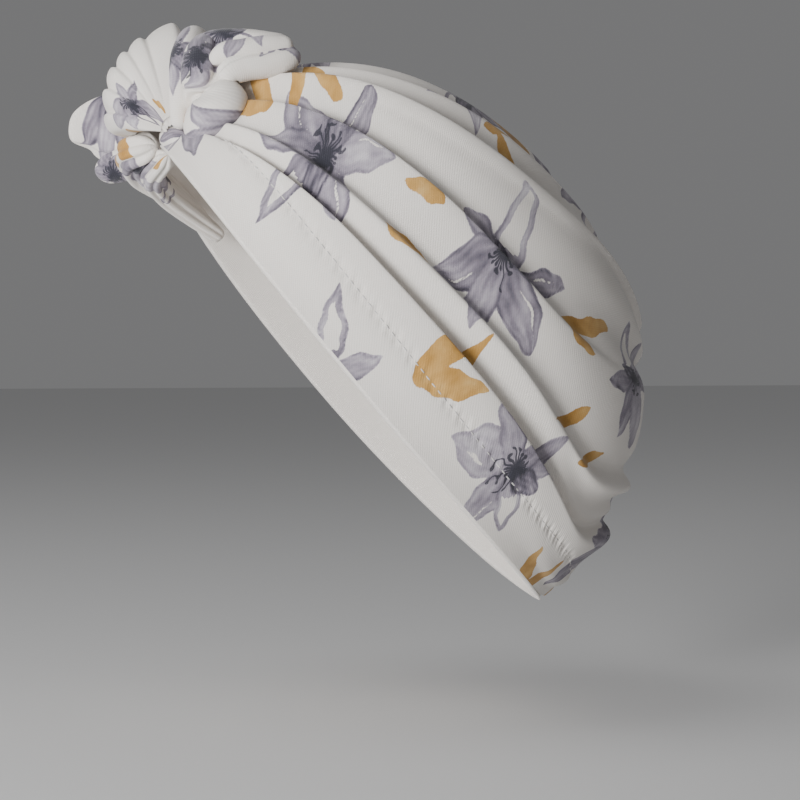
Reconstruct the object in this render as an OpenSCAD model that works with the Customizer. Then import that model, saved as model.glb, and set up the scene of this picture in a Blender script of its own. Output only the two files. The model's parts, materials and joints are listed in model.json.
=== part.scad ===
// Knotted turban headwear in printed jersey, in the pose that it has on a head.
// The face looks along -Y, the wearer's left is +X and +Z is up.
// The origin is the middle of the head opening.
// Every piece is drawn in the cap's own frame, with the rim flat at height 0 and the crown above it,
// and worn() then tilts it back as it is worn.

/* [Head opening] */
// Length of the opening from forehead to nape, outside the cloth
opening_l = 212; // [176:1:256]
// Width of the opening from ear to ear, outside the cloth
opening_w = 150; // [135:1:165]
// How far the rim dips over the ears
ear_dip = 6; // [0:0.5:10]
// Tilt of the rim from level when it is worn
rim_tilt = 50; // [0:1:60]

/* [Crown] */
// Height of the crown over the plane of the rim
crown_h = 98; // [81:1:118]
// Fullness over the forehead, where 2 is a plain ellipse
front_fullness = 2.3; // [2:0.05:3]
// Fullness over the nape, where 2 is a plain ellipse
back_fullness = 2; // [2:0.05:2.6]
// Fullness from ear to ear, where 2 is a plain ellipse
side_fullness = 2.3; // [2:0.05:2.6]
// Where the pleats enter the knot, in degrees along the cap from its front
gather_way = 6; // [5:0.5:12]

/* [Cloth and trims] */
// Thickness of the gathered jersey
cloth = 1.2; // [0.6:0.1:2]
// Depth of the turned hem
hem_depth = 15; // [8:1:20]
// Thickness of the hem's turned-in layer
hem_cloth = 0.8; // [0.5:0.1:1.2]
// Width of the elastic in the hem
elastic_w = 8; // [5:0.5:10]
// Thickness of the elastic in the hem
elastic_t = 1; // [0.6:0.1:1.4]
// Width of the crown seam's allowance, both sides together
seam_w = 12; // [8:1:16]
// Thickness of the crown seam's allowance
seam_t = 1.4; // [1:0.1:2]
// Width of the ruching elastic on the crown seam
ruching_w = 6; // [4:0.5:8]
// Thickness of the ruching elastic
ruching_t = 0.8; // [0.5:0.1:1.2]
// Diameter of the sewing thread
thread_d = 0.4; // [0.3:0.05:0.6]
// Space between one layer and the next
layer_gap = 0.4; // [0.35:0.05:0.6]

/* [Knot] */
// Half the width of the strap that is wrapped over the knot
wrap_half_w = 21; // [17:1:26]
// Thickness of the wrapped strap
wrap_t = 6; // [4:0.5:7]
// How far the knot stands out from the line where the strap is drawn in
knot_reach = 39; // [36:1:47]
// Radius of the tie that fills the knot
tie_r = 7; // [5.5:0.1:8.5]
// Radius of each tie where it leaves its panel
tie_root_r = 3.5; // [3:0.5:4.5]
// Radius of the rolled tie end that lies back over the crown
rear_end_r = 6.5; // [5:0.5:8]
// Length of the rolled tie end between the middles of its round ends
rear_end_l = 20.5; // [14:0.5:30]
// Radius of the pointed tie end at its root
front_end_r = 6; // [4:0.5:7]

/* [Hidden] */
jersey = [0.88, 0.87, 0.84];
print_grey = [0.55, 0.54, 0.6];
thread_white = [0.93, 0.93, 0.92];
elastic_white = [0.96, 0.96, 0.95];

nape_way = 178;              // where the panels stop short of the nape, in degrees along the cap
seam_gap = 0.3;              // between the left and right pieces at the middle
along = 40;                  // faces along a panel
across = 16;                 // faces across a panel
stitch_out = 0.25;           // space under a row of stitches that lies on the cloth
seam_start = 12;             // degrees along the cap from the gathers to the start of the crown seam
ruching_way = 75;            // where the ruching elastic starts, in degrees along the cap
elastic_round = 85;          // how far the elastic reaches each way from the nape, in degrees
hem_in = cloth + layer_gap;                        // depth of the elastic's outer face
hem_turn_in = hem_in + elastic_t + layer_gap;      // depth of the hem's turned-in layer
seam_in = cloth + layer_gap;                       // depth of the crown seam's allowance
ruching_in = seam_in + seam_t + layer_gap;         // depth of the ruching elastic and overlock
stitch_h = hem_depth - 2;                          // height of the row of hem stitches
seam_stop = hem_depth + 2;                         // height at which the crown seam stops at the nape

// --- the cap's surface -------------------------------------------------------------------------

function fullness_at(y) = y < 0 ? front_fullness : back_fullness;

// Half width of the cap at length y, as a share of its widest, at a depth of t under its face.
function share(y, t) =
    let(f = fullness_at(y)) pow(max(0, 1 - pow(abs(y) / (opening_l / 2 - t), f)), 1 / f);

// How far the rim's dip over the ears lowers a point whose share is s and whose rise is 0 to 1.
function dip(s, rise) = ear_dip * s * s * pow(1 - rise, 2);

// The partner of a coordinate on a rounded curve of unit size.
function other(c) = pow(max(0, 1 - pow(abs(c), side_fullness)), 1 / side_fullness);

// A point of the cap: way is 0 at the front and 180 at the nape, turn is 0 on the left of the rim
// and 90 on the crown's middle line, and t is the depth under the face.
function cap_point(way, turn, t) =
    let(y = -(opening_l / 2 - t) * cos(way),
        s = share(y, t),
        rise = pow(abs(sin(turn)), 2 / side_fullness))
    [sign(cos(turn)) * (opening_w / 2 - t) * other(rise) * s, y, (crown_h - t) * rise * s - dip(s, rise)];

// A point of the cap at height h: round is 0 at the front, 90 at the left ear and 180 at the nape.
function level_point(round, h, t) =
    let(f = fullness_at(-cos(round)),
        y = -(opening_l / 2 - t) * pow(1 - pow(h / (crown_h - t), f), 1 / f) * cos(round),
        s = share(y, t),
        rise = min(1, h / ((crown_h - t) * max(s, 0.001))))
    [(round > 180 ? -1 : 1) * (opening_w / 2 - t) * s * other(rise), y, h - dip(s, rise)];

// A point of the cap at a distance x from the crown's middle line.
function middle_point(way, x, t) =
    let(y = -(opening_l / 2 - t) * cos(way), s = share(y, t))
    [x, y, (crown_h - t) * s * other(x / ((opening_w / 2 - t) * s))];

// The way along the crown's middle line at which it comes down to height h at the nape.
function nape_way_at(h, t) = acos(-pow(1 - pow(h / (crown_h - t), back_fullness), 1 / back_fullness));

// Evenly spaced values from a to b, with n steps between them.
function steps(a, b, n) = [for (i = [0 : n]) a + (b - a) * i / n];

// A closed solid between two grids of points with the same number of rows and columns. The outer
// grid comes first, and its rows and columns turn so that their faces look outwards.
module sheet_solid(outer, inner) {
    rows = len(outer);
    cols = len(outer[0]);
    n = rows * cols;
    points = concat([for (r = outer) each r], [for (r = inner) each r]);
    function at(i, j) = i * cols + j;
    faces = concat(
        [for (i = [0 : rows - 2], j = [0 : cols - 2]) each
            [[at(i, j), at(i + 1, j), at(i + 1, j + 1)], [at(i, j), at(i + 1, j + 1), at(i, j + 1)]]],
        [for (i = [0 : rows - 2], j = [0 : cols - 2]) each
            [[n + at(i, j), n + at(i + 1, j + 1), n + at(i + 1, j)],
             [n + at(i, j), n + at(i, j + 1), n + at(i + 1, j + 1)]]],
        [for (i = [0 : rows - 2], j = [0, cols - 1])
            let(a = at(i, j), b = at(i + 1, j))
            each j == 0 ? [[a, n + b, b], [a, n + a, n + b]] : [[a, b, n + b], [a, n + b, n + a]]],
        [for (j = [0 : cols - 2], i = [0, rows - 1])
            let(a = at(i, j), b = at(i, j + 1))
            each i == 0 ? [[a, b, n + b], [a, n + b, n + a]] : [[a, n + b, b], [a, n + a, n + b]]]);
    polyhedron(points, faces);
}

// A band that follows the rim, from height h0 to h1 and from depth t0 to t1.
module rim_band(round0, round1, h0, h1, t0, t1, n, m) {
    rounds = steps(round0, round1, n);
    heights = steps(h1, h0, m);
    sheet_solid([for (r = rounds) [for (h = heights) level_point(r, h, t0)]],
                [for (r = rounds) [for (h = heights) level_point(r, h, t1)]]);
}

// A band of width w along the crown's middle line, from depth t0 to t1.
module middle_band(way0, way1, w, t0, t1, n, m) {
    ways = steps(way0, way1, n);
    places = steps(-w / 2, w / 2, m);
    sheet_solid([for (a = ways) [for (x = places) middle_point(a, x, t0)]],
                [for (a = ways) [for (x = places) middle_point(a, x, t1)]]);
}

// The left half of the cap.
module half_cap() {
    ways = steps(gather_way, nape_way, along);
    turns = steps(90, 0, across);
    translate([seam_gap / 2, 0, 0])
        sheet_solid([for (a = ways) [for (f = turns) cap_point(a, f, 0)]],
                    [for (a = ways) [for (f = turns) cap_point(a, f, cloth)]]);
}

// The left half of the hem's turned-in layer.
module half_hem() {
    translate([seam_gap / 2, 0, 0])
        rim_band(gather_way, 180, 0, hem_depth, hem_turn_in, hem_turn_in + hem_cloth, along, 3);
}

// --- the sewn cap ------------------------------------------------------------------------------

module left_panel() { color(jersey) half_cap(); }
module right_panel() { color(jersey) mirror([1, 0, 0]) half_cap(); }
module left_hem() { color(jersey) half_hem(); }
module right_hem() { color(jersey) mirror([1, 0, 0]) half_hem(); }

// Elastic across the nape, loose in the hem.
module hem_elastic() {
    low = (stitch_h - elastic_w) / 2;
    color(elastic_white)
        rim_band(180 - elastic_round, 180 + elastic_round, low, low + elastic_w,
                 hem_in, hem_in + elastic_t, 40, 2);
}

// The row of stitches that holds the hem, seen from outside.
module hem_stitching() {
    clear = gather_way + 3;
    color(thread_white)
        rim_band(clear, 360 - clear, stitch_h, stitch_h + thread_d,
                 -stitch_out - thread_d, -stitch_out, 90, 1);
}

// The joined edges of the two panels, pressed flat inside the crown.
module crown_seam() {
    color(jersey)
        middle_band(gather_way + seam_start, nape_way_at(seam_stop, seam_in), seam_w,
                    seam_in, seam_in + seam_t, 40, 3);
}

// Two rows of overlock thread along the allowance, one on each side of the ruching elastic.
module crown_seam_thread() {
    color(thread_white)
        for (side = [-1, 1])
            translate([side * (ruching_w + seam_w) / 4, 0, 0])
                middle_band(gather_way + seam_start + 1, nape_way_at(seam_stop + 2, ruching_in), thread_d,
                            ruching_in, ruching_in + thread_d, 30, 1);
}

// Narrow elastic that gathers the back of the crown seam.
module ruching_elastic() {
    color(elastic_white)
        middle_band(ruching_way, nape_way_at(seam_stop + 2, ruching_in), ruching_w,
                    ruching_in, ruching_in + ruching_t, 30, 2);
}

// The gathering thread that draws the pleats together behind the knot.
module gather_stitching() {
    first = gather_way + 1.5;
    ways = [first, first + 0.3];
    turns = steps(165, 15, 24);
    color(thread_white)
        sheet_solid([for (a = ways) [for (f = turns) cap_point(a, f, -stitch_out - thread_d)]],
                    [for (a = ways) [for (f = turns) cap_point(a, f, -stitch_out)]]);
}

// --- the knot ----------------------------------------------------------------------------------

knot_y = -opening_l / 2;         // the line along X that the wrapped strap fans out from
knot_z = 4.5;
fan = [139, 222];                // the strap's first and last direction, in degrees from +Y towards +Z
fan_fall = 0.45;                 // how much closer the strap's last direction is than its first
pole_r = 4;                      // how far the strap stands from its line at its poles, outside
inner_pole_r = 1;                // and inside
fan_steps = 10;
wrap_steps = 16;
wrap_ends = 12;                  // how far the strap's ends stop short of its poles, in degrees

// How far the strap's outer face stands from its line in a direction.
function fan_reach(d) = knot_reach * (1 - fan_fall * (d - fan[0]) / (fan[1] - fan[0]));

// How far the strap's inner face stands from its line in a direction, at a distance x from the middle.
function wrap_inner(d, x) =
    (fan_reach(d) - wrap_t - pole_r) * pow(sin(acos(x / wrap_half_w)), 0.7) + inner_pole_r;

// A point of the strap: side is 0 at its left end and 180 at its right end.
function wrap_point(d, side, deep) =
    let(r = (fan_reach(d) - pole_r - deep) * pow(sin(side), 0.7) + (deep > 0 ? inner_pole_r : pole_r))
    [wrap_half_w * cos(side), knot_y + r * cos(d), knot_z + r * sin(d)];

// The broad strap that is wrapped over the knot and drawn in at both ends.
module knot_wrap() {
    sides = steps(wrap_ends, 180 - wrap_ends, wrap_steps);
    ways = steps(fan[0], fan[1], fan_steps);
    color(jersey)
        sheet_solid([for (s = sides) [for (d = ways) wrap_point(d, s, 0)]],
                    [for (s = sides) [for (d = ways) wrap_point(d, s, wrap_t)]]);
}

// A chain of balls, [place, radius], each joined to the next, with places measured from the knot.
module ball_chain(balls) {
    translate([0, knot_y, knot_z])
        for (i = [0 : len(balls) - 2])
            hull() {
                translate(balls[i][0]) sphere(balls[i][1], $fn = 24);
                translate(balls[i + 1][0]) sphere(balls[i + 1][1], $fn = 24);
            }
}

tack_l = 2.5;                    // length of a tack's bar
tack_apart = 1.5;                // half the space between the two tacks on a side
touch = 0.5;                     // between a tack and the cloth at each of its ends
root_x = 2 + tie_root_r;         // where each tie leaves its panel, from the middle line
strap_in = wrap_inner(188, root_x);
root_end = tack_l + 2 * touch + tie_root_r + 1 - strap_in;
// A place in the knot, measured along the strap's first direction and square off it, clear of the strap.
function off_strap(x, along, off) =
    [x, along * cos(fan[0]) + off * sin(fan[0]), along * sin(fan[0]) - off * cos(fan[0])];

loop_side = wrap_half_w + tie_r;
loop_end = off_strap(loop_side + 9, 7.3, tie_r - 0.1);      // the middle of the loop's left end
rear_root = [wrap_half_w + 7, -6, loop_end[2] + tie_r + rear_end_r + 2.8];
rear_way = [0, 56];              // the rolled end's direction, sideways and up from +Y
front_root = [-wrap_half_w - 3 - front_end_r, -8, -11];

// The gathered root of each tie, from the panel's front edge into the knot.
module tie_root() {
    color(jersey)
        ball_chain([[[root_x, 4, 3], tie_root_r - 0.5],
                    [[root_x, -5, 0], tie_root_r],
                    [[root_x, root_end, 0], tie_root_r + 1]]);
}
module left_tie_root() { tie_root(); }
module right_tie_root() { mirror([1, 0, 0]) tie_root(); }

// The second tie, which fills the knot and shows beside the wrapped strap.
module knot_loop() {
    color(jersey)
        ball_chain([[off_strap(tie_r - 1 - wrap_half_w, 13, tie_r - 2.5), tie_r - 2],
                    [off_strap(0, 19, tie_r - 5), tie_r],
                    [off_strap(loop_side / 2, 16, tie_r - 0.9), tie_r - 1],
                    [loop_end, tie_r]]);
}

// Short bars of thread that hold the wrapped strap to the gathered roots of the ties.
module knot_tacks() {
    color(thread_white)
        for (x = [-root_x, root_x], z = [-tack_apart, tack_apart])
            translate([x, knot_y - strap_in + touch, knot_z + z])
                rotate([-90, 0, 0])
                    cylinder(h = tack_l, d = 2 * thread_d, $fn = 24);
}

// The rolled end of one tie, lying back over the crown.
module rear_tie_end() {
    way = [sin(rear_way[0]), cos(rear_way[0]) * cos(rear_way[1]), sin(rear_way[1])];
    color(jersey) ball_chain([[rear_root, rear_end_r], [rear_root + rear_end_l * way, rear_end_r]]);
}

// The pointed end of the other tie, standing forward on the right of the knot.
module front_tie_end() {
    color(print_grey)
        translate([0, knot_y, knot_z])
            translate(front_root)
                hull() {
                    sphere(front_end_r, $fn = 24);
                    translate([-1, -17, 4]) sphere(front_end_r - 1, $fn = 24);
                    translate([-1, -20, -9]) sphere(front_end_r - 3, $fn = 24);
                    translate([1, -2, -8]) sphere(front_end_r - 1, $fn = 24);
                }
}

// The tilt that the cap has on a head.
module worn() { rotate([-rim_tilt, 0, 0]) children(); }

worn() left_panel();
worn() right_panel();
worn() left_hem();
worn() right_hem();
worn() hem_elastic();
worn() hem_stitching();
worn() crown_seam();
worn() crown_seam_thread();
worn() ruching_elastic();
worn() gather_stitching();
worn() left_tie_root();
worn() right_tie_root();
worn() knot_wrap();
worn() knot_loop();
worn() knot_tacks();
worn() rear_tie_end();
worn() front_tie_end();
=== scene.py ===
import json
import math

import bpy
import numpy as np
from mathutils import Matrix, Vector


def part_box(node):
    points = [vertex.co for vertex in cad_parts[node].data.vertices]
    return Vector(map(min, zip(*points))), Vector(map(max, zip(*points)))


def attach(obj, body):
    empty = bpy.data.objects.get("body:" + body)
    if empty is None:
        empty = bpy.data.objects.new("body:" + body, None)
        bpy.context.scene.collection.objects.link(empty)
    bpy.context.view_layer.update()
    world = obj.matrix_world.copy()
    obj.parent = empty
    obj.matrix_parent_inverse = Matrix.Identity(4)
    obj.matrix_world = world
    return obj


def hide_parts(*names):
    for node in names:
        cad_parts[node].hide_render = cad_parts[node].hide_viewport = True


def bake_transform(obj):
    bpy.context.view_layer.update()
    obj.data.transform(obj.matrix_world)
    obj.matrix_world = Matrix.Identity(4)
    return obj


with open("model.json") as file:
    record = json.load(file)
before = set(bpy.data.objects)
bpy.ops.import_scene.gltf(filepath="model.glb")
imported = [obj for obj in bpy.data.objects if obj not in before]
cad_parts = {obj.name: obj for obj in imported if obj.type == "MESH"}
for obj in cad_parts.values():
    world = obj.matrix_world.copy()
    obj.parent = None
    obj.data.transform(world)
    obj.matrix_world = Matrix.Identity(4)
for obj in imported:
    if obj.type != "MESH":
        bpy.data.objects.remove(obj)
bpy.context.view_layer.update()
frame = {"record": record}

MM = 0.001

# --- driving sizes, in metres and degrees ------------------------------------------------------

rim_mount = next(m for m in frame["record"]["mounts"] if m["name"] == "head_opening")
TILT = math.atan2(-rim_mount["axis"][1], -rim_mount["axis"][2])   # tilt of the rim when worn
HALF_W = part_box("left_panel")[1][0] - 0.15 * MM                   # half the cap's width
HALF_L = 106 * MM                                                 # half the length of the opening
CROWN_H = 98 * MM                                                 # height of the crown over the rim
EAR_DIP = 6 * MM
FRONT_FULLNESS = 2.3
BACK_FULLNESS = 2.0
SIDE_FULLNESS = 2.3
GATHER_WAY = 6.0            # where the pleats enter the knot, in degrees along the cap
HEM_DEPTH = 13 * MM         # height of the hem's row of stitches
FULL_TURN = 6.2832           # one turn in radians, for the shader waves

ALONG = 380                 # rows of points along a panel
ACROSS = 260                # points across a panel


# --- helpers for surfaces ----------------------------------------------------------------------

def worn(points):
    """Tilts points of the cap's own frame, rim flat and crown up, back as they are worn."""
    points = np.asarray(points, dtype=float)
    c, s = math.cos(TILT), math.sin(TILT)
    x, y, z = points[..., 0], points[..., 1], points[..., 2]
    return np.stack([x, y * c + z * s, z * c - y * s], axis=-1)


KNOT = worn((0, -HALF_L, 4.5 * MM))       # middle of the line that the wrapped strap fans out from


def by_knot(offsets):
    """Places given in mm from the knot, as worn: left, back and up."""
    return KNOT + np.array(offsets, dtype=float) * MM


def smooth(x, lo, hi):
    """Rises smoothly from 0 at lo to 1 at hi."""
    t = np.clip((x - lo) / (hi - lo), 0, 1)
    return t * t * (3 - 2 * t)


def grid_normals(points):
    """Unit normals of a grid of points: rows' direction crossed with columns' direction."""
    n = np.cross(np.gradient(points, axis=0), np.gradient(points, axis=1))
    return n / np.maximum(np.linalg.norm(n, axis=-1, keepdims=True), 1e-12)


def through(values, x, at):
    """Smooth curve through values given at the places x, read at the places at (cubic Hermite)."""
    values, x = np.asarray(values, dtype=float), np.asarray(x, dtype=float)
    slope = np.gradient(values, x, axis=0)
    i = np.clip(np.searchsorted(x, at) - 1, 0, len(x) - 2)
    h = x[i + 1] - x[i]
    t = (at - x[i]) / h
    if values.ndim > 1:
        h, t = h[..., None], t[..., None]
    return ((2 * t ** 3 - 3 * t ** 2 + 1) * values[i] + (t ** 3 - 2 * t ** 2 + t) * h * slope[i]
            + (3 * t ** 2 - 2 * t ** 3) * values[i + 1] + (t ** 3 - t ** 2) * h * slope[i + 1])


def grid_mesh(name, points, uv, wrapped=False):
    """An object from a grid of points, with a UV map called print that holds uv in metres.

    Each cell is one face of four corners; a wrapped grid also joins its last column to its first.
    uv has one more column than the points where the grid is wrapped.
    """
    rows, cols = points.shape[:2]
    width = cols if wrapped else cols - 1
    i, j = np.meshgrid(np.arange(rows - 1), np.arange(width), indexing="ij")
    k = (j + 1) % cols
    faces = np.stack([i * cols + j, (i + 1) * cols + j, (i + 1) * cols + k, i * cols + k], axis=-1)
    faces = faces.reshape(-1, 4)
    uv_cols = uv.shape[1]
    this_row, next_row = i * uv_cols + j, (i + 1) * uv_cols + j
    at = np.stack([this_row, next_row, next_row + 1, this_row + 1], axis=-1)
    mesh = bpy.data.meshes.new(name)
    mesh.from_pydata(points.reshape(-1, 3).tolist(), [], faces.tolist())
    layer = mesh.uv_layers.new(name="print")
    layer.data.foreach_set("uv", uv.reshape(-1, 2)[at.ravel()].astype(np.float32).ravel())
    mesh.shade_smooth()
    obj = bpy.data.objects.new(name, mesh)
    bpy.context.scene.collection.objects.link(obj)
    paint_on(obj, uv[:, :cols])
    return obj


# --- the cap's surface -------------------------------------------------------------------------

def cap_surface(way, turn, deep=0.0):
    """A point of the smooth cap, way degrees from the front and turn degrees up from the left rim.

    The outline along the cap and the arch across it are both superellipses, and the rim dips
    over the ears by the square of the local width.
    """
    y = -(HALF_L - deep) * np.cos(np.radians(way))
    full = np.where(y < 0, FRONT_FULLNESS, BACK_FULLNESS)
    share = np.maximum(0, 1 - (np.abs(y) / (HALF_L - deep)) ** full) ** (1 / full)
    rise = np.abs(np.sin(np.radians(turn))) ** (2 / SIDE_FULLNESS)
    side = np.maximum(0, 1 - rise ** SIDE_FULLNESS) ** (1 / SIDE_FULLNESS)
    side = np.where(turn > 90, -side, side)
    dip = EAR_DIP * share ** 2 * (1 - rise) ** 2
    return np.stack([(HALF_W - deep) * side * share, y, (CROWN_H - deep) * rise * share - dip], axis=-1)


def local_share(way):
    """How much narrower and lower the cap is at this way than at its middle."""
    y = np.abs(np.cos(np.radians(way)))
    full = np.where(np.asarray(way) < 90, FRONT_FULLNESS, BACK_FULLNESS)
    return np.maximum(1e-6, 1 - y ** full) ** (1 / full)


def rim_height(way, turn):
    """Height of a point of the smooth cap over the rim."""
    return CROWN_H * local_share(way) * np.abs(np.sin(np.radians(turn))) ** (2 / SIDE_FULLNESS)


def turn_at(way, height):
    """The turn at which the cap at this way stands height over the rim."""
    rise = np.clip(height / (CROWN_H * local_share(way)), 0, 1)
    return np.degrees(np.arcsin(rise ** (SIDE_FULLNESS / 2)))


def fold_lines(a, t0):
    """Way and turn of the fold line that starts at turn t0, at the share a of its length.

    Each line leaves the knot at its own turn, keeps it along the side of the head and then climbs
    to the seam at the middle. Low lines reach the seam near the nape and climb late.
    """
    end_way = 180 - 1.3 * t0
    late = 4 + 0.9 * np.maximum(0, 43 - t0)
    return GATHER_WAY + (end_way - GATHER_WAY) * a, t0 + (90 - t0) * a ** late


STATIONS = (0.0, 0.12, 0.3, 0.5, 0.7, 0.88, 1.0)   # shares of a fold line's length
# Each pleat: its turns at the knot and at the nape, its half widths in degrees towards the rim and
# towards the crown, its crest in mm at the stations, and how far the crest leans over towards the
# crown there, in degrees.
LEFT_PLEATS = (
    (9.3, 14.0, 6.0, 2.0, (0, 2.5, 5.0, 5.5, 5.0, 4.5, 4.5), (0, 2, 3.5, 3.5, 3.0, 2.0, 1)),
    (16.8, 22.5, 2.2, 2.2, (0, 2.0, 4.0, 4.5, 4.5, 4.0, 4.5), (0, 1, 1.5, 2.0, 2.0, 1.0, 0)),
    (28.0, 33.0, 5.0, 2.6, (0, 3.5, 4.5, 4.5, 4.0, 3.5, 5.0), (0, 3, 4.0, 4.0, 3.0, 2.0, 1)),
    (43.5, 43.5, 4.6, 2.6, (1, 5.0, 6.5, 6.0, 5.0, 5.0, 7.0), (0, 3, 4.5, 4.5, 3.5, 2.5, 1)),
    (57.0, 57.0, 4.0, 2.4, (1, 4.0, 4.5, 4.0, 3.5, 2.5, 2.5), (0, 2, 4.0, 4.0, 3.0, 1.0, 0)),
    (71.0, 71.0, 5.5, 2.8, (1, 4.0, 4.0, 3.5, 3.0, 3.5, 5.0), (0, 2, 3.0, 3.5, 3.0, 1.0, 0)),
)
RIGHT_PLEATS = (
    (10.0, 13.0, 6.0, 2.2, (0, 2.0, 4.0, 4.5, 4.0, 4.0, 4.5), (0, 2, 3.5, 3.5, 3.0, 2.0, 1)),
    (18.5, 23.0, 3.0, 2.2, (0, 2.0, 3.5, 3.5, 3.5, 3.5, 4.0), (0, 1, 2.0, 2.5, 2.0, 1.0, 1)),
    (30.0, 33.0, 4.5, 2.4, (0, 3.0, 4.0, 4.0, 3.5, 3.0, 4.0), (0, 2, 3.5, 4.0, 2.0, 1.0, 0)),
    (44.0, 44.0, 5.5, 2.8, (1, 4.5, 5.5, 5.5, 4.5, 4.5, 6.0), (0, 3, 4.5, 4.5, 4.0, 3.0, 1)),
    (56.0, 56.0, 5.0, 2.6, (1, 3.5, 4.5, 3.5, 3.0, 3.0, 3.5), (0, 2, 4.0, 4.0, 3.0, 1.0, 0)),
    (69.5, 69.5, 5.0, 2.8, (1, 4.0, 4.0, 3.5, 3.0, 3.0, 4.0), (0, 2, 3.0, 3.5, 3.0, 1.0, 0)),
)


def ripple(a, t, seed):
    """Small uneven waves: a sum of sines whose places and lengths come from the seed."""
    rng = np.random.default_rng(seed)
    total = 0
    for _ in range(8):
        fa, ft = rng.uniform(0.4, 2.2), rng.uniform(0.12, 0.55)
        total = total + rng.uniform(0.4, 1) * np.sin(6.283 * fa * a + ft * t + rng.uniform(0, 6.283))
    return total / 3


def pleated(a, t, height, pleats, seed):
    """Lift in metres and sideways lean in degrees of the cloth at share a of fold line t.

    height is the cloth's height over the rim, where the hem's stitches draw in a shallow groove.

    Each pleat is a bell across the fold lines; its lean pushes the crest over the next pleat.
    Close to the seam the cloth is ruched: short waves across the seam, drawn in at the stitches.
    """
    lift = np.zeros_like(t)
    lean = np.zeros_like(t)
    for start, end, rimward, crownward, crest, over in pleats:
        place = start + (end - start) * smooth(a, 0.4, 1.0)
        bell = np.exp(-((t - place) / np.where(t < place, rimward, crownward)) ** 2)
        lift = lift + through(crest, STATIONS, a) * bell
        lean = lean + through(over, STATIONS, a) * bell
    near_rim = smooth(t, 0, 9)
    lean = lean * smooth(t, 0, 8)
    ruched = smooth(a, 0.72, 1.0)
    lift = lift + ripple(a, t, seed) * (0.4 + 0.7 * ruched) * near_rim
    lift = lift + 1.3 * ruched * np.sin(t * 1.15 + 2 * np.sin(t * 0.31)) * near_rim
    lift = lift - 4.0 * smooth(a, 0.965, 1.0) * near_rim
    lift = lift * smooth(height, -2 * MM, 10 * MM)
    puckers = 0.5 + 0.2 * np.sin(a * 520) + 0.2 * np.sin(a * 211)
    lift = lift - puckers * np.exp(-((height - HEM_DEPTH) / (1.1 * MM)) ** 2)
    return np.maximum(lift, -0.4) * MM, lean


def side_print(flat):
    """Print coordinates of the smooth cap's points: the side of the head laid out flat.

    Distances from the middle of the side are kept, as on a round map drawn about a pole.
    """
    middle = np.array([0, 0, 35 * MM])
    from_side = flat - middle
    r = np.hypot(from_side[..., 1], from_side[..., 2])
    angle = np.arctan2(r / CROWN_H, flat[..., 0] / HALF_W)
    reach = angle / np.maximum(np.sin(angle), 1e-6)
    laid = worn(np.stack([np.zeros_like(r), from_side[..., 1] * reach, from_side[..., 2] * reach], axis=-1))
    return laid[..., 1:]


def panel_cloth(pleats, seed):
    """The left panel's cloth in the cap's own frame, and its print coordinates."""
    a, t = np.meshgrid(np.linspace(0, 1, ALONG), np.linspace(0, 90, ACROSS), indexing="ij")
    way, turn = fold_lines(a, t)
    flat = cap_surface(way, turn)
    lift, lean = pleated(a, t, rim_height(way, turn), pleats, seed)
    base = cap_surface(*fold_lines(a, np.clip(t + lean, 0, 90)))
    points = base + grid_normals(flat) * lift[..., None]
    points[..., 0] -= points[-1:, :, 0] * smooth(a, 0.9, 1.0)
    points[..., 0] = np.maximum(points[..., 0], 0)
    return points, side_print(flat)


# --- the print ---------------------------------------------------------------------------------

FLOWER_APART = (66, 78)     # spaces between flowers across and along the cloth, in mm
FLOWER_FIRST = (-118, -142) # place of the first flower on the panels' cloth
FLOWER_LINES = (4, 4)       # lines of flowers across and along the panels' cloth
GOLDEN_TURN = 137.5         # each flower is turned by this many degrees from the last one
# Corners of the print plane's regions that hold the knot's pieces, in mm.
KNOT_REGIONS = ((0, 228), (300, 100), (300, 200), (300, 300), (400, 100), (400, 200), (400, 300),
                (500, 100), (500, 200), (500, 300), (600, 100), (600, 200))


def flower_places(rng):
    """Places, turns and sizes of the flowers: a loose half-drop repeat, and one for each knot region.

    Every second line is dropped by half a space, and each flower strays a little from its place.
    """
    across, along = FLOWER_LINES
    places = []
    for i in range(across):
        for j in range(along):
            x = FLOWER_FIRST[0] + FLOWER_APART[0] * i + rng.uniform(-7, 7)
            y = FLOWER_FIRST[1] + FLOWER_APART[1] * (j + 0.5 * (i % 2)) + rng.uniform(-7, 7)
            places.append((x, y, rng.uniform(0.85, 1.1)))
    for x, y in KNOT_REGIONS:
        places.append((x + rng.uniform(12, 24), y + rng.uniform(8, 24), rng.uniform(0.5, 0.7)))
    return [(x, y, GOLDEN_TURN * k % 360, size) for k, (x, y, size) in enumerate(places)]


def flower(x, y, turn, size, rng):
    """One painted flower: its petals, its leaves and its heart, in mm and degrees.

    Six petals stand at even turns round the heart, each a little off in turn, length and tone. The
    third is only outlined, and a short dark one lies over the heart. Two ochre leaves spread as a V
    beyond the petals and a small one lies on the other side.
    """
    petals = []
    for i in range(6):
        length = size * rng.uniform(22, 35)
        petals.append((x, y, turn + 60 * i + rng.uniform(-13, 13), length, length * rng.uniform(0.18, 0.26),
                       rng.uniform(0.32, 0.62), i == 2, rng.uniform(-0.1, 0.1)))
    petals.append((x, y, turn + 150, 15 * size, 4.5 * size, 0.85, False, 0.0))
    leaves = []
    for away, opening, length in ((30, 22, 30), (30, -22, 27), (205, 0, 20)):
        way = math.radians(turn + away)
        far = 30 * size
        leaves.append((x + far * math.cos(way), y + far * math.sin(way), turn + away + opening,
                       length * size, 0.14 * length * size))
    return petals, leaves, (x, y, 10 * size, turn)


print_rng = np.random.default_rng(11)
FLOWERS = [flower(*place, print_rng) for place in flower_places(print_rng)]
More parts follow.
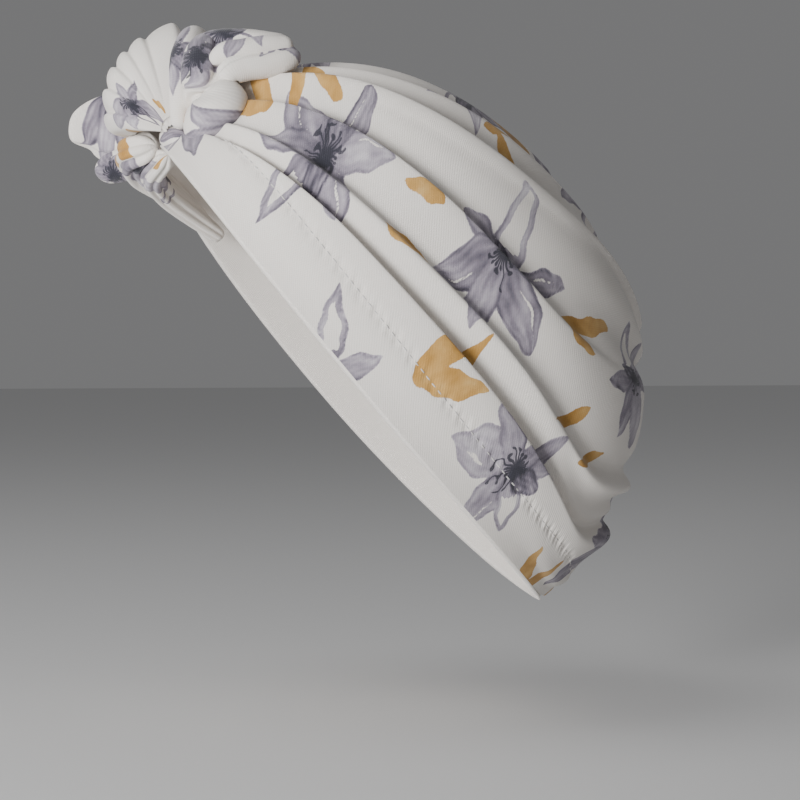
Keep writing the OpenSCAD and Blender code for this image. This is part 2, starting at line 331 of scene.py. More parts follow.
# Petals: foot x and y, heading, length, half width, how dark the wash is, whether only the outline
# is painted, and how far the petal bends. Leaves: foot x and y, heading, length and half width.
PETALS = [petal for petals, _, _ in FLOWERS for petal in petals]
LEAVES = [leaf for _, leaves, _ in FLOWERS for leaf in leaves]
# Hearts: x, y, reach of the stamens in mm, and the way that the longest ones point.
HEARTS = [heart for _, _, heart in FLOWERS]


def wet_edge(x, y, foot_x, foot_y, heading, length, half_width, bend=0.0):
    """How far inside one painted petal or leaf each place lies, in mm, with its share along it.

    The outline is w(t) = 3.0 W t^0.7 (1 - t)^0.9 on either side of a line that bends by t squared.
    """
    c, s = math.cos(math.radians(heading)), math.sin(math.radians(heading))
    dx, dy = x - foot_x, y - foot_y
    t = (dx * c + dy * s) / length
    off = dy * c - dx * s - bend * length * t * t
    inside = np.clip(t, 0, 1)
    width = 3.0 * half_width * inside ** 0.7 * (1 - inside) ** 0.9
    past = length * np.maximum(0, np.maximum(-t, t - 1))
    return np.where(past > 0, -np.hypot(off, past), width - np.abs(off)), t, off / np.maximum(width, 0.3)


def painted(uv):
    """Distance inside the grey wash, darkness of the wash and distance inside the ochre, per place."""
    x, y = uv[..., 0] / MM, uv[..., 1] / MM
    x, y = (x + 0.7 * np.sin(0.31 * y + 1) + 0.35 * np.sin(0.83 * y + 0.4 * x),
            y + 0.7 * np.sin(0.27 * x + 2) + 0.35 * np.sin(0.71 * x - 0.3 * y))
    wash = np.full(x.shape, -9.0)
    dark = np.zeros(x.shape)
    for foot_x, foot_y, heading, length, half_width, tone, hollow, bend in PETALS:
        e, t, side = wet_edge(x, y, foot_x, foot_y, heading, length, half_width, bend)
        cover = smooth(e, -0.4, 0.5)
        rim_line = np.exp(-((e - 0.35) / 0.65) ** 2)
        foot = np.clip(1 - t, 0, 1) ** 2
        streaks = np.sin(9 * side + 4 * t + foot_x) * np.sin(4 * side - 7 * t + foot_y)
        own = tone * (0.68 + 0.6 * foot + 0.28 * streaks) + 0.24 * rim_line
        dark = dark * (1 - cover) + own * cover
        if hollow:
            inner = np.where(t < 0.35, e, np.minimum(e, 0.42 * half_width - e))
        else:
            slit = np.abs(side - 0.38) * half_width - 0.45 * (1 - ((t - 0.6) / 0.24) ** 2)
            inner = np.minimum(e, np.where(length > 24, slit + 0.05, e))
        wash = np.where(e > 0, np.where(inner > -0.6, np.maximum(inner, -0.6), inner), np.maximum(wash, e))
    gold = np.full(x.shape, -9.0)
    for foot_x, foot_y, heading, length, half_width in LEAVES:
        e, t, side = wet_edge(x, y, foot_x, foot_y, heading, length, half_width, 0.05)
        slit = np.abs(side - 0.1 * np.sin(6 * t)) * half_width - 0.3 * (1 - ((t - 0.5) / 0.2) ** 2)
        gold = np.maximum(gold, np.minimum(e, slit + 0.1) if half_width > 5 else e)
    return wash, dark, gold


def from_heart(uv):
    """Place about the nearest flower's heart, turned to its own way, and the reach of its stamens.

    All three are in mm. Away from a flower the reach is 0, so that no stamen is drawn there.
    """
    x, y = uv[..., 0] / MM, uv[..., 1] / MM
    nearest = np.full(x.shape, np.inf)
    held = np.zeros(x.shape + (3,))
    for heart_x, heart_y, reach, heading in HEARTS:
        c, s = math.cos(math.radians(heading)), math.sin(math.radians(heading))
        dx, dy = x - heart_x, y - heart_y
        far = np.hypot(dx, dy)
        about = np.stack([dx * c + dy * s, dy * c - dx * s, np.where(far < 1.5 * reach, reach, 0)], axis=-1)
        held = np.where((far < nearest)[..., None], about, held)
        nearest = np.minimum(far, nearest)
    return held


def paint_on(obj, uv):
    """Stores the print's values at the points of a piece, from its print coordinates."""
    for name, values in zip(("wash", "dark", "gold"), painted(uv)):
        layer = obj.data.attributes.new(name, "FLOAT", "POINT")
        layer.data.foreach_set("value", values.astype(np.float32).ravel())
    layer = obj.data.attributes.new("heart", "FLOAT_VECTOR", "POINT")
    layer.data.foreach_set("vector", from_heart(uv).astype(np.float32).ravel())


# --- materials ---------------------------------------------------------------------------------

class Shader:
    """Short hand for wiring nodes: every method adds one node and returns its output."""

    def __init__(self, tree):
        self.tree = tree

    def add(self, kind, **inputs):
        node = self.tree.nodes.new(kind)
        for name, value in inputs.items():
            self.plug(node.inputs[name.replace("_", " ")], value)
        return node

    def plug(self, socket, value):
        if isinstance(value, bpy.types.NodeSocket):
            self.tree.links.new(value, socket)
        else:
            socket.default_value = value

    def maths(self, operation, *values, clamp=False):
        node = self.tree.nodes.new("ShaderNodeMath")
        node.operation = operation
        node.use_clamp = clamp
        for socket, value in zip(node.inputs, values):
            self.plug(socket, value)
        return node.outputs[0]

    def vector(self, operation, a, b=(0, 0, 0), scale=1.0, out=0):
        node = self.tree.nodes.new("ShaderNodeVectorMath")
        node.operation = operation
        self.plug(node.inputs[0], a)
        self.plug(node.inputs[1], b)
        self.plug(node.inputs[3], scale)
        return node.outputs[out]

    def noise(self, vector, scale, detail=2.0, rough=0.5):
        node = self.add("ShaderNodeTexNoise", Vector=vector, Scale=scale, Detail=detail, Roughness=rough)
        return node.outputs[0]

    def span(self, value, lo, hi, to_lo=0.0, to_hi=1.0):
        node = self.tree.nodes.new("ShaderNodeMapRange")
        node.interpolation_type = "SMOOTHSTEP"
        for socket, v in zip(node.inputs[:5], (value, lo, hi, to_lo, to_hi)):
            self.plug(socket, v)
        return node.outputs[0]

    def mix(self, share, a, b):
        node = self.tree.nodes.new("ShaderNodeMix")
        node.data_type = "RGBA"
        for socket, v in zip((node.inputs[0], node.inputs[6], node.inputs[7]), (share, a, b)):
            self.plug(socket, v)
        return node.outputs[2]

    def ramp(self, value, stops):
        node = self.tree.nodes.new("ShaderNodeValToRGB")
        while len(node.color_ramp.elements) < len(stops):
            node.color_ramp.elements.new(0.5)
        for element, (place, colour) in zip(node.color_ramp.elements, stops):
            element.position = place
            element.color = (*colour, 1)
        self.plug(node.inputs[0], value)
        return node.outputs[0]


def node_group(name, ins, outs):
    """A new shader group; gives the group, its input sockets and the sockets to wire its outputs to."""
    tree = bpy.data.node_groups.new(name, "ShaderNodeTree")
    for socket_name, kind in ins:
        tree.interface.new_socket(socket_name, in_out="INPUT", socket_type=kind)
    for socket_name, kind in outs:
        tree.interface.new_socket(socket_name, in_out="OUTPUT", socket_type=kind)
    return tree, tree.nodes.new("NodeGroupInput").outputs, tree.nodes.new("NodeGroupOutput").inputs


def stamen_group():
    """Dark threads that spread from a flower's heart, each with a small dot at its end.

    Heart holds the place about the heart and, as its third value, the stamens' reach. The turn about
    the heart is cut into equal cells, one thread a cell; every cell has its own length and its
    thread wavers a little. Lengths grow towards the way the stamens point.
    """
    tree, ins, outs = node_group("stamens", (("Place", "NodeSocketVector"), ("Heart", "NodeSocketVector")),
                                 (("Ink", "NodeSocketFloat"),))
    g = Shader(tree)
    parts = g.add("ShaderNodeSeparateXYZ", Vector=ins["Heart"])
    reach = parts.outputs[2]
    far = g.vector("LENGTH", g.vector("MULTIPLY", ins["Heart"], (1, 1, 0)), out=1)
    angle = g.maths("ARCTAN2", parts.outputs[1], parts.outputs[0])
    waver = g.maths("MULTIPLY", g.maths("SUBTRACT", g.noise(ins["Place"], 0.25, 0.0), 0.5), 1.1)
    bent = g.maths("ADD", angle, waver)
    cells = 19
    at = g.maths("MULTIPLY", bent, cells / FULL_TURN)
    cell = g.maths("FLOOR", at)
    middle = g.maths("SUBTRACT", g.maths("SUBTRACT", at, cell), 0.5)
    sideways = g.maths("MULTIPLY", g.maths("ABSOLUTE", middle), g.maths("MULTIPLY", far, FULL_TURN / cells))
    chance = g.add("ShaderNodeTexWhiteNoise")
    chance.noise_dimensions = "1D"
    g.plug(chance.inputs[1], g.maths("ADD", cell, reach))
    toward = g.maths("COSINE", angle)
    length = g.maths("MULTIPLY", reach, g.maths("MULTIPLY_ADD", chance.outputs[0], 0.65, 0.35))
    length = g.maths("MULTIPLY", length, g.maths("MULTIPLY_ADD", toward, 0.3, 0.8))
    ending = g.span(far, g.maths("SUBTRACT", length, 0.5), length, 1, 0)
    thread = g.maths("MULTIPLY", g.span(sideways, 0.2, 0.42, 1, 0), ending)
    beyond = g.maths("SUBTRACT", far, length)
    squares = g.maths("ADD", g.maths("MULTIPLY", beyond, beyond), g.maths("MULTIPLY", sideways, sideways))
    dot_far = g.maths("SQRT", squares)
    dot = g.span(dot_far, 0.5, 0.8, 1, 0)
    uneven = g.maths("ADD", far, g.maths("MULTIPLY", waver, 2.4))
    blot = g.maths("MULTIPLY", g.span(uneven, 0.16, 0.4, 1, 0), 0.9)
    size = g.maths("MULTIPLY", reach, 0.26)
    full, gone = g.maths("MULTIPLY", size, 0.6), g.maths("MULTIPLY", size, 1.5)
    core = g.span(g.maths("MULTIPLY_ADD", waver, 3.0, far), full, gone, 1, 0)
    ink = g.maths("MAXIMUM", g.maths("MAXIMUM", thread, dot), g.maths("MAXIMUM", core, blot))
    g.plug(outs["Ink"], g.maths("MULTIPLY", ink, g.span(reach, 1, 2)))
    return tree


def knit_group():
    """Height of the jersey's knit: fine ribs, each broken into slanting stitches."""
    tree, ins, outs = node_group("jersey_knit", (("Place", "NodeSocketVector"),),
                                 (("Height", "NodeSocketFloat"),))
    g = Shader(tree)
    parts = g.add("ShaderNodeSeparateXYZ", Vector=ins["Place"])
    soft = g.maths("MULTIPLY", g.noise(ins["Place"], 0.25, 1.0), 5.0)
    rib = g.maths("SINE", g.maths("MULTIPLY_ADD", parts.outputs[0], FULL_TURN / 0.75, soft))
    slant = g.maths("MULTIPLY", g.maths("ABSOLUTE", rib), 1.5)
    course = g.maths("SINE", g.maths("ADD", g.maths("MULTIPLY", parts.outputs[1], FULL_TURN / 0.62), slant))
    g.plug(outs["Height"], g.maths("MULTIPLY_ADD", rib, 0.6, g.maths("MULTIPLY", course, 0.4)))
    return tree


STAMENS = stamen_group()
KNIT = knit_group()
CREAM = (0.82, 0.775, 0.725, 1)


def jersey_material():
    """Cream jersey with grey watercolour flowers and ochre leaves; the back of it shows them faintly."""
    material = bpy.data.materials.new("printed_jersey")
    material.use_nodes = True
    g = Shader(material.node_tree)
    principled = material.node_tree.nodes["Principled BSDF"]
    place = g.tree.nodes.new("ShaderNodeUVMap")
    place.uv_map = "print"
    place = g.vector("SCALE", place.outputs[0], scale=1 / MM)
    values = {}
    for name in ("wash", "dark", "gold"):
        reader = g.tree.nodes.new("ShaderNodeAttribute")
        reader.attribute_name = name
        values[name] = reader.outputs["Fac"]
    coarse = g.maths("SUBTRACT", g.noise(place, 0.28, 3.0, 0.6), 0.5)
    fine = g.maths("SUBTRACT", g.noise(place, 1.4, 2.0), 0.5)
    bleed = g.maths("MULTIPLY_ADD", coarse, 0.8, g.maths("MULTIPLY", fine, 0.5))
    washed = g.span(g.maths("ADD", values["wash"], bleed), -0.12, 0.16)
    gilded = g.span(g.maths("ADD", values["gold"], bleed), -0.1, 0.14)
    cloud = g.maths("SUBTRACT", g.noise(place, 0.11, 3.0, 0.55), 0.5)
    clouding = g.maths("MULTIPLY_ADD", cloud, 0.75, g.maths("MULTIPLY", fine, 0.14))
    tone = g.maths("ADD", values["dark"], clouding)
    grey = g.ramp(tone, ((0.0, (0.66, 0.63, 0.655)), (0.28, (0.40, 0.362, 0.415)), (0.5, (0.235, 0.207, 0.255)),
                         (0.75, (0.10, 0.088, 0.118)), (1.0, (0.025, 0.024, 0.034))))
    ochre = g.ramp(g.maths("ADD", cloud, 0.5), ((0.3, (0.40, 0.20, 0.035)), (0.55, (0.56, 0.32, 0.09)),
                                                (0.75, (0.66, 0.43, 0.17))))
    hearts = g.tree.nodes.new("ShaderNodeAttribute")
    hearts.attribute_name = "heart"
    spot = g.tree.nodes.new("ShaderNodeGroup")
    spot.node_tree = STAMENS
    g.plug(spot.inputs["Place"], place)
    g.plug(spot.inputs["Heart"], hearts.outputs["Vector"])
    colour = g.mix(washed, CREAM, grey)
    colour = g.mix(gilded, colour, ochre)
    colour = g.mix(g.maths("MULTIPLY", spot.outputs[0], 0.92), colour, (0.022, 0.022, 0.034, 1))
    knit = g.tree.nodes.new("ShaderNodeGroup")
    knit.node_tree = KNIT
    g.plug(knit.inputs["Place"], place)
    # painted shade: the colour is darkened a little where the knit is low, between its ribs and stitches
    shade = g.maths("MULTIPLY_ADD", knit.outputs[0], 0.035, 0.97)
    colour = g.vector("SCALE", colour, scale=shade)
    behind = g.tree.nodes.new("ShaderNodeNewGeometry").outputs["Backfacing"]
    colour = g.mix(g.maths("MULTIPLY", behind, 0.6), colour, CREAM)
    g.plug(principled.inputs["Base Color"], colour)
    g.plug(principled.inputs["Roughness"], 0.92)
    g.plug(principled.inputs["Sheen Weight"], 0.25)
    bump = g.add("ShaderNodeBump", Strength=0.35, Distance=0.12 * MM, Height=knit.outputs[0])
    g.plug(principled.inputs["Normal"], bump.outputs[0])
    return material


def plain_material(name, colour, fineness, roughness, strength):
    """Thread, elastic or bare cloth: fine crossing ribs with a little uneven colour, and painted shade that darkens
    the colour where the ribs are low.
    """
    material = bpy.data.materials.new(name)
    material.use_nodes = True
    g = Shader(material.node_tree)
    principled = material.node_tree.nodes["Principled BSDF"]
    place = g.tree.nodes.new("ShaderNodeTexCoord").outputs["Object"]
    parts = g.add("ShaderNodeSeparateXYZ", Vector=place)
    waves = fineness * FULL_TURN
    y, z = parts.outputs[1], parts.outputs[2]
    one = g.maths("SINE", g.maths("MULTIPLY", g.maths("ADD", y, z), waves))
    two = g.maths("SINE", g.maths("MULTIPLY", g.maths("SUBTRACT", y, z), waves))
    weave = g.maths("MULTIPLY", one, two)
    uneven = g.noise(place, 120.0, 3.0)
    # painted shade: the colour is darkened where the weave's ribs are low; the noise added on top is the material's
    # own uneven colour
    shade = g.maths("ADD", g.maths("MULTIPLY_ADD", weave, 0.08, 0.85), g.maths("MULTIPLY", uneven, 0.2))
    g.plug(principled.inputs["Base Color"], g.vector("SCALE", (*colour,), scale=shade))
    g.plug(principled.inputs["Roughness"], roughness)
    bump = g.add("ShaderNodeBump", Strength=strength, Distance=0.1 * MM, Height=weave)
    g.plug(principled.inputs["Normal"], bump.outputs[0])
    return material


cloth = jersey_material()


# The tie ends' bodies, with where each would start and stop bending as it lifts, in mm from the knot; only the names
# are read and nothing bends.
BENDS = {"rear_end": ((26, 14, 22), (28, 27, 25)), "front_end": ((-23, -10, 1), (-30, -20, 3))}


def finish_piece(obj, body, *replaced, slot="printed_jersey", material=None):
    """Gives a piece its material and body, and hides the nodes that it stands for.

    A tie end is only baked in place and is given no body.
    """
    obj.data.materials.append(material or cloth)
    if body in BENDS:
        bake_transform(obj)
    else:
        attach(obj, body)
    if replaced:
        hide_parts(*replaced)
    return obj


left_points, left_uv = panel_cloth(LEFT_PLEATS, 3)
left = finish_piece(grid_mesh("left_panel_cloth", worn(left_points), left_uv), "cap", "left_panel")
right_cloth, right_uv = panel_cloth(RIGHT_PLEATS, 8)
right_points = (right_cloth * np.array([-1, 1, 1]))[::-1]
right_uv = (-0.010, -0.040) - right_uv[::-1]
right = finish_piece(grid_mesh("right_panel_cloth", worn(right_points), right_uv), "cap", "right_panel")


HEM_FULL = 3.9 * MM          # thickness of the rim with the elastic inside
CAP_ROWS = 340


def hem_fold(hand):
    """The hem: the cloth turned under at the rim and carried up inside over the elastic.

    Across, the profile is half an oval under the rim and then a band that leans back to the panel
    above the elastic. Along, it follows the rim; hand is 1 on the left and -1 on the right.
    """
    way = np.linspace(GATHER_WAY, 179.9, CAP_ROWS)[:, None]
    under = np.linspace(0, math.pi, 12)
    up = np.linspace(0, 15 * MM, 14)[1:]
    shrink = np.clip(local_share(way) / 0.45, 0.25, 1)
    turned_in = HEM_FULL - 2.6 * MM * smooth(up, 11 * MM, 15 * MM)
    deep = np.concatenate([(1 - np.cos(under)) / 2 * HEM_FULL, turned_in])
    height = np.concatenate([-np.sin(under) * 1.1 * MM, up])
    deep = deep[None, :] * shrink
    height = height[None, :] * shrink
    flat = cap_surface(way, turn_at(way, np.maximum(height, 0)), deep)
    flat[..., 2] += np.minimum(height, 0)
    gathers = 0.25 * MM * np.sin(way * 2.1 + 0.8 * np.sin(way * 0.37)) * smooth(height, 1 * MM, 6 * MM)
    flat[..., 2] += gathers
    along = np.cumsum(np.linalg.norm(np.diff(flat[:, 0], axis=0, prepend=flat[:1, 0]), axis=1))
    across = np.cumsum(np.hypot(np.diff(deep[CAP_ROWS // 2], prepend=0), np.diff(height[CAP_ROWS // 2], prepend=0)))
    uv = np.stack(np.broadcast_arrays(700 * MM + along[:, None], across[None, :]), axis=-1)
    flat[..., 0] *= hand
    order = slice(None, None, -1) if hand > 0 else slice(None)
    name = "left_hem_fold" if hand > 0 else "right_hem_fold"
    return grid_mesh(name, worn(flat)[order], uv[order])


left_hem = finish_piece(hem_fold(1), "cap", "left_hem")
right_hem = finish_piece(hem_fold(-1), "cap", "right_hem")


def bead_mesh(name, middles, alongs, outs, half_length, half_width, half_height):
    """Many small stitches in one mesh: each an oval bead laid along the row and half sunk in."""
    turns = np.linspace(0, 2 * math.pi, 6, endpoint=False)
    u, v = np.meshgrid(np.linspace(0, math.pi, 6), turns, indexing="ij")
    shape = np.stack([np.cos(u) * half_length, np.sin(u) * np.cos(v) * half_width,
                      np.sin(u) * np.sin(v) * half_height], axis=-1).reshape(-1, 3)
    sides = np.cross(outs, alongs)
    points = (middles[:, None, :] + shape[None, :, :1] * alongs[:, None, :]
              + shape[None, :, 1:2] * sides[:, None, :] + shape[None, :, 2:] * outs[:, None, :])
    i, j = np.meshgrid(np.arange(5), np.arange(6), indexing="ij")
    k = (j + 1) % 6
    faces = np.stack([i * 6 + j, i * 6 + k, (i + 1) * 6 + k, (i + 1) * 6 + j], axis=-1).reshape(-1, 4)
    faces = faces[None] + (np.arange(len(middles)) * len(shape))[:, None, None]
    mesh = bpy.data.meshes.new(name)
    mesh.from_pydata(points.reshape(-1, 3).tolist(), [], faces.reshape(-1, 4).tolist())
    mesh.shade_smooth()
    obj = bpy.data.objects.new(name, mesh)
    bpy.context.scene.collection.objects.link(obj)
    return obj


def row_of_stitches(cloth_points, hand):
    """Places and directions of one panel's hem stitches, evenly spaced at the hem's depth.

    The row is where the cloth stands HEM_DEPTH over the rim: read between the columns of the grid.
    """
    a, t = np.meshgrid(np.linspace(0, 1, ALONG), np.linspace(0, 90, ACROSS), indexing="ij")
    height = rim_height(*fold_lines(a, t))
    normals = grid_normals(cloth_points)
    rows = np.arange(12, ALONG - 12)
    at = np.array([np.interp(HEM_DEPTH, height[i], np.arange(ACROSS)) for i in rows])
    lo = np.clip(np.floor(at).astype(int), 0, ACROSS - 2)
    part = (at - lo)[:, None]
    line = cloth_points[rows, lo] * (1 - part) + cloth_points[rows, lo + 1] * part
    out = normals[rows, lo]
    keep = at < ACROSS - 4
    line, out = line[keep], out[keep]
    length = np.concatenate([[0], np.cumsum(np.linalg.norm(np.diff(line, axis=0), axis=1))])
    places = np.arange(2 * MM, length[-1] - 1 * MM, 3.1 * MM)
    pick = [np.interp(places, length, line[:, k]) for k in range(3)]
    ahead = [np.interp(places + 0.5 * MM, length, line[:, k]) for k in range(3)]
    middles = np.stack(pick, axis=-1)
    alongs = np.stack(ahead, axis=-1) - middles
    outs = np.stack([np.interp(places, length, out[:, k]) for k in range(3)], axis=-1)
    scale = np.array([hand, 1, 1])
    middles, alongs, outs = worn(middles * scale), worn(alongs * scale), worn(outs * scale)
    alongs /= np.linalg.norm(alongs, axis=1, keepdims=True)
    outs /= np.linalg.norm(outs, axis=1, keepdims=True)
    return middles + outs * 0.08 * MM, alongs, outs


thread = plain_material("sewing_thread", (0.74, 0.72, 0.70), 2600, 0.55, 0.5)
elastic = plain_material("braided_elastic", (0.80, 0.79, 0.77), 900, 0.75, 0.8)
plain_jersey = plain_material("plain_jersey", (0.77, 0.74, 0.70), 1400, 0.92, 0.4)
rows = [row_of_stitches(left_points, 1), row_of_stitches(right_cloth, -1)]
whole_rows = [np.concatenate(parts) for parts in zip(*rows)]
stitches = bead_mesh("hem_stitch_rows", *whole_rows, 1.0 * MM, 0.26 * MM, 0.2 * MM)
finish_piece(stitches, "cap", "hem_stitching", slot="sewing_thread", material=thread)
for node, material in (("crown_seam", plain_jersey), ("crown_seam_thread", thread),
                       ("gather_stitching", thread),
                       ("knot_tacks", thread), ("hem_elastic", elastic), ("ruching_elastic", elastic)):
    for material_slot in bpy.data.objects[node].material_slots:
        material_slot.material = material


# --- the knot ----------------------------------------------------------------------------------

def swept(name, path, radii, creases=(), roll=0.0, twist=0.0, rings=90, sides=72, flat_end=0.0,
          print_at=(0, 0)):
    """A soft rolled strap: an oval section carried along a smooth path, with both ends closed round.

    path holds places in mm from the knot, radii the section's two half sizes at each place, and
    creases the (angle in degrees, depth as a share of the radius, width in degrees) of each groove
    that runs along it. roll turns the section and twist turns it steadily along the way.
    """
    path, radii = np.array(path, dtype=float), np.array(radii, dtype=float)
    steps = np.linalg.norm(np.diff(path, axis=0), axis=1)
    length = np.concatenate([[0], np.cumsum(steps)]) / steps.sum()
    s = (1 - np.cos(np.linspace(0, math.pi, rings))) / 2
    middle = by_knot(through(path, length, s))
    size = through(radii, length, s) * MM
    total = steps.sum() * MM
    tangent = np.gradient(middle, axis=0)
    tangent /= np.linalg.norm(tangent, axis=1, keepdims=True)
    guide = np.array([0.15, 0.1, 1.0]) if abs(tangent[:, 2]).mean() < 0.8 else np.array([0.1, 1.0, 0.2])
    side = np.cross(tangent, guide)
    side /= np.linalg.norm(side, axis=1, keepdims=True)
    up = np.cross(side, tangent)
    hidden = np.array([-1, 0, -0.5])
    seam = math.atan2(up[rings // 2] @ hidden, side[rings // 2] @ hidden)
    theta = seam + np.linspace(0, 2 * math.pi, sides, endpoint=False)
    bulk = np.ones((rings, sides))
    for angle, depth, width in creases:
        away = np.degrees(np.angle(np.exp(1j * (theta - math.radians(angle)))))
        bulk = bulk - depth * np.exp(-(away / width) ** 2)[None, :]
    rim = np.minimum(s, 1 - s) * total
    from_tip = np.clip(rim / np.maximum(size.mean(axis=1), 1e-6), 0, 1)
    round_off = np.sqrt(np.clip(1 - (1 - from_tip) ** 2, 0, 1))
    turned = theta[None, :] + math.radians(roll) + math.radians(twist) * s[:, None]
    cos_part = (size[:, :1] * np.cos(theta)[None, :] * bulk) * round_off[:, None]
    sin_part = (size[:, 1:] * np.sin(theta)[None, :] * bulk) * round_off[:, None]
    spin = turned - theta[None, :]
    x = cos_part * np.cos(spin) - sin_part * np.sin(spin)
    y = cos_part * np.sin(spin) + sin_part * np.cos(spin)
    points = middle[:, None, :] + side[:, None, :] * x[..., None] + up[:, None, :] * y[..., None]
    around = np.linspace(0, 2 * math.pi, sides + 1) * radii.mean() * MM
    uv = np.stack(np.broadcast_arrays(s[:, None] * total, around[None, :]), axis=-1)
    uv = uv + np.array(print_at) * MM
    return grid_mesh(name, points, uv, wrapped=True)


FAN = (130, 226)           # the strap's first and last direction, in degrees, in the cap's frame
FAN_EDGE = 138             # the direction where its first edge starts to roll under
FAN_REACH = (39.5, 21.0)   # how far it stands out at that edge and at the last direction, in mm
WRAP_HALF_W = 22 * MM
FAN_CREASES = (154, 166, 177, 192, 209)


def wrapped_strap():
    """The broad strap over the knot: a fan of pleats drawn together at a pole on each side.

    The section across the poles is a crescent: the outer arc with rounded pleats between the
    creases, closed by a hollow inner arc. Every direction shrinks towards the poles alike.
    """
    outer = np.linspace(FAN[0], FAN[1], 120)
    reach = np.interp(outer, (FAN_EDGE, FAN[1]), FAN_REACH)
    reach = reach - 6 * np.clip((FAN_EDGE - outer) / (FAN_EDGE - FAN[0]), 0, 1) ** 2
    edges = np.array((FAN[0],) + FAN_CREASES + (FAN[1],), dtype=float)
    i = np.clip(np.searchsorted(edges, outer) - 1, 0, len(edges) - 2)
    share = (outer - edges[i]) / (edges[i + 1] - edges[i])
    puff = np.clip(4 * share * (1 - share), 0, 1) ** 0.38
    reach = reach - 2.8 * (1 - puff) + 1.6 * (0.5 - share)
    inner = np.linspace(FAN[1], FAN[0], 60)
    ring_d = np.concatenate([outer, inner])
    hollow = np.interp(inner, FAN, (14, 6)) + 5 * np.abs(np.sin(np.radians(inner * 6))) ** 0.6
    ring_r = np.concatenate([reach, hollow])
    flat = np.stack([np.cos(np.radians(ring_d)), np.sin(np.radians(ring_d))], axis=-1) * ring_r[:, None]
    kernel = np.exp(-np.linspace(-2, 2, 7) ** 2)
    kernel /= kernel.sum()
    padded = np.concatenate([flat[-3:], flat, flat[:3]])
    flat = np.stack([np.convolve(padded[:, k], kernel, mode="valid") for k in (0, 1)], axis=-1) * MM
    sigma = np.radians(np.linspace(4, 176, 96))[:, None]
    pinch = np.sin(sigma) ** 0.72
    wobble = 1 + 0.02 * np.sin(3 * sigma + flat[:, 0][None, :] * 300)
    y = -HALF_L + flat[:, 0][None, :] * pinch * wobble
    z = 4.5 * MM + flat[:, 1][None, :] * pinch * wobble
    x = np.broadcast_to(WRAP_HALF_W * np.cos(sigma), y.shape)
    points = worn(np.stack([x, y, z], axis=-1))
    around = 200 * MM + np.concatenate([[0], np.cumsum(np.linalg.norm(np.diff(flat, axis=0), axis=1))])
    around = np.append(around, around[-1] + 1 * MM)
    centre_line = points[:, 60]
    along = np.cumsum(np.linalg.norm(np.diff(centre_line, axis=0, prepend=centre_line[:1]), axis=1))
    uv = np.stack(np.broadcast_arrays(along[:, None], around[None, :]), axis=-1)
    return grid_mesh("wrapped_strap", points, uv, wrapped=True)


finish_piece(wrapped_strap(), "cap", "knot_wrap")
finish_piece(swept("knot_channel", [(2, 13, 31), (8, 9, 33.5), (16, 5, 27), (21, 3.5, 13), (22, 3, 1)],
                   [(4, 4), (4.5, 5), (4.8, 5), (4, 4), (3, 3)], creases=[(200, 0.3, 18)], print_at=(300, 100)),
             "cap", "knot_loop")
finish_piece(swept("knot_lobe", [(4, 13, 27), (13, 13, 28), (23, 11.5, 23), (26.5, 10.5, 15), (23, 8, 6)],
                   [(6, 7), (7, 7.5), (8, 7.5), (7.5, 6.5), (4, 5)], creases=[(200, 0.3, 16), (120, 0.25, 12)],
                   print_at=(300, 200)), "cap")
finish_piece(swept("knot_bulb", [(22, 8, 3), (28, 11, 2), (33, 15, 5.5), (33.5, 17.5, 11.5), (31, 17.5, 17)],
                   [(5, 5), (8.5, 8), (9.5, 8.5), (8, 6.5), (4.5, 4)], creases=[(150, 0.2, 18)],
                   print_at=(300, 300)), "cap")
finish_piece(swept("rear_end_roll", [(12, 11, 29), (19, 17, 29.5), (24, 25, 29), (26, 34, 28), (26, 42, 27)],
                   [(6, 6), (6.5, 6.5), (6.5, 6.5), (6.3, 6.3), (5.5, 6)], creases=[(20, 0.3, 16), (150, 0.25, 18)],
                   print_at=(400, 100)), "rear_end", "rear_tie_end")
finish_piece(swept("rear_end_edge", [(30, 13, 23), (31.5, 17, 26), (32, 24, 27.5), (31.5, 33, 29), (30, 41, 29.5)],
                   [(1.5, 2.0), (2.8, 3.4), (3.2, 3.6), (3.2, 3.6), (3, 3)], print_at=(400, 200)), "rear_end")
finish_piece(swept("rear_end_fold", [(32, 18, 15), (33, 19, 19), (32.5, 24, 21.5), (32, 32, 23),
                                     (31, 39, 25), (29, 43, 26.5)],
                   [(3, 3), (4, 4.4), (4.8, 5), (5, 5), (4.6, 4.6), (3.5, 3.5)], creases=[(60, 0.2, 16)],
                   print_at=(600, 200)), "rear_end")
finish_piece(swept("front_end_leaf", [(-20, -9, 2), (-27, -15, 5), (-31, -22, 6), (-32, -29, 5), (-32, -34, 2)],
                   [(4, 9), (4.5, 13), (4, 13), (3, 9), (1.5, 3)], creases=[(80, 0.3, 20), (250, 0.3, 24)],
                   print_at=(400, 300)), "front_end", "front_tie_end")
finish_piece(swept("front_end_roll", [(-16, -8, -5), (-21, -13, -7), (-25, -20, -9), (-27, -25, -10)],
                   [(5, 5), (5.5, 6), (5, 5.5), (4, 4)], creases=[(120, 0.3, 16)], print_at=(500, 100)), "front_end")
ROOT_CREASES = [(angle, 0.22, 11) for angle in range(10, 360, 50)]
finish_piece(swept("right_root_fold", [(2, -4, -3), (-8, -12, -5), (-20, -10, -9), (-32, 1, -16), (-44, 16, -27)],
                   [(5, 6), (6, 7), (6, 7), (5, 6), (3, 4)], creases=ROOT_CREASES, twist=60,
                   print_at=(500, 200)), "cap", "right_tie_root")
finish_piece(swept("right_root_low", [(4, 0, -6), (-10, -5, -12), (-24, -1, -17), (-36, 9, -24), (-46, 22, -33)],
                   [(4, 4), (4.5, 5), (4.5, 5), (4, 5), (3, 3)], creases=ROOT_CREASES, twist=60,
                   print_at=(500, 300)), "cap")
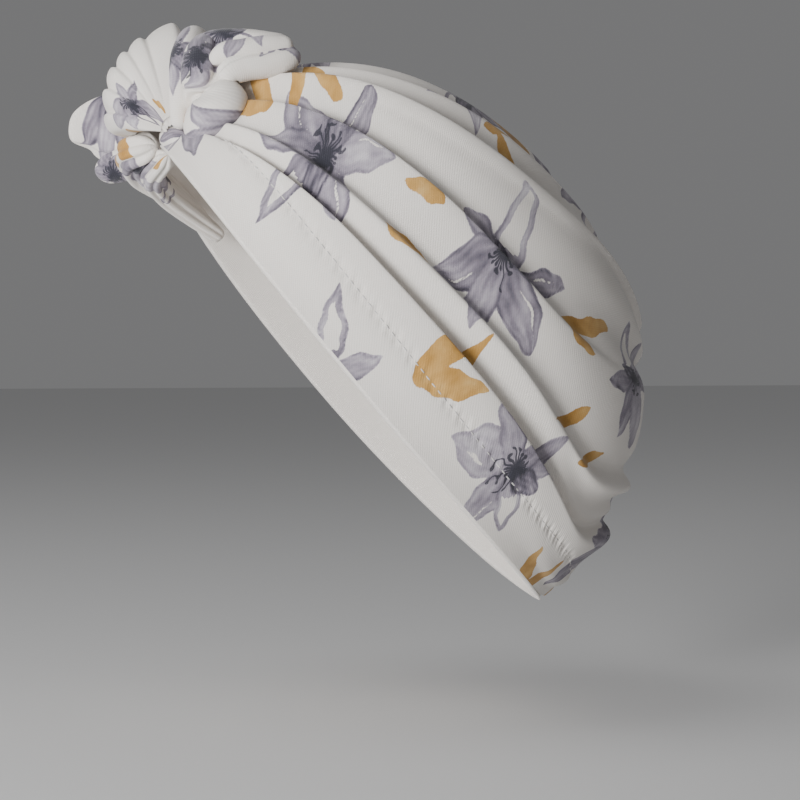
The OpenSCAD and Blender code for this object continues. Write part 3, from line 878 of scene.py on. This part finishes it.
finish_piece(swept("left_root_fold", [(14, -2, -2), (19, 1, -1.5), (24, 6, -4)],
                   [(3.5, 3.5), (3.8, 3.8), (2.5, 2.5)], print_at=(600, 100)), "cap", "left_tie_root")

# --- camera and light --------------------------------------------------------------------------

floor = bpy.data.objects.new("floor", bpy.data.meshes.new("floor"))
floor.data.from_pydata([(-4, -4, -0.12), (4, -4, -0.12), (4, 4, -0.12), (-4, 4, -0.12)], [], [(0, 1, 2, 3)])
bpy.context.scene.collection.objects.link(floor)
world = bpy.data.worlds.new("studio")
bpy.context.scene.world = world
world.use_nodes = True
world.node_tree.nodes["Background"].inputs[0].default_value = (0.83, 0.83, 0.84, 1)
world.node_tree.nodes["Background"].inputs[1].default_value = 0.22


def area_light(name, place, size, power):
    """A square lamp that faces the middle of the object."""
    data = bpy.data.lights.new(name, "AREA")
    data.energy = power
    data.size = size
    obj = bpy.data.objects.new(name, data)
    obj.location = place
    way = np.array((0, 0.02, 0)) - np.array(place)
    obj.rotation_euler = (math.atan2(math.hypot(way[0], way[1]), -way[2]), 0, math.atan2(-way[0], way[1]))
    bpy.context.scene.collection.objects.link(obj)


area_light("key", (0.78, -0.72, 0.1), 0.4, 15)
area_light("top_light", (0.1, -0.5, 1.1), 0.7, 2.5)

CAMERA_TURN = math.radians(9)      # how far the camera is turned from the side towards the face
CAMERA_RISE = math.radians(2)
CAMERA_FAR = 0.75
cam = bpy.data.objects.new("camera", bpy.data.cameras.new("camera"))
cam.data.sensor_width = 36
cam.data.lens = 36 / 0.288 * CAMERA_FAR
direction = np.array([math.cos(CAMERA_TURN) * math.cos(CAMERA_RISE),
                      -math.sin(CAMERA_TURN) * math.cos(CAMERA_RISE), math.sin(CAMERA_RISE)])
cam.location = np.array([0, 18 * MM, -8.6 * MM]) + direction * CAMERA_FAR
cam.rotation_euler = (math.pi / 2 - CAMERA_RISE, 0, math.pi / 2 - CAMERA_TURN)
bpy.context.scene.collection.objects.link(cam)
bpy.context.scene.camera = cam
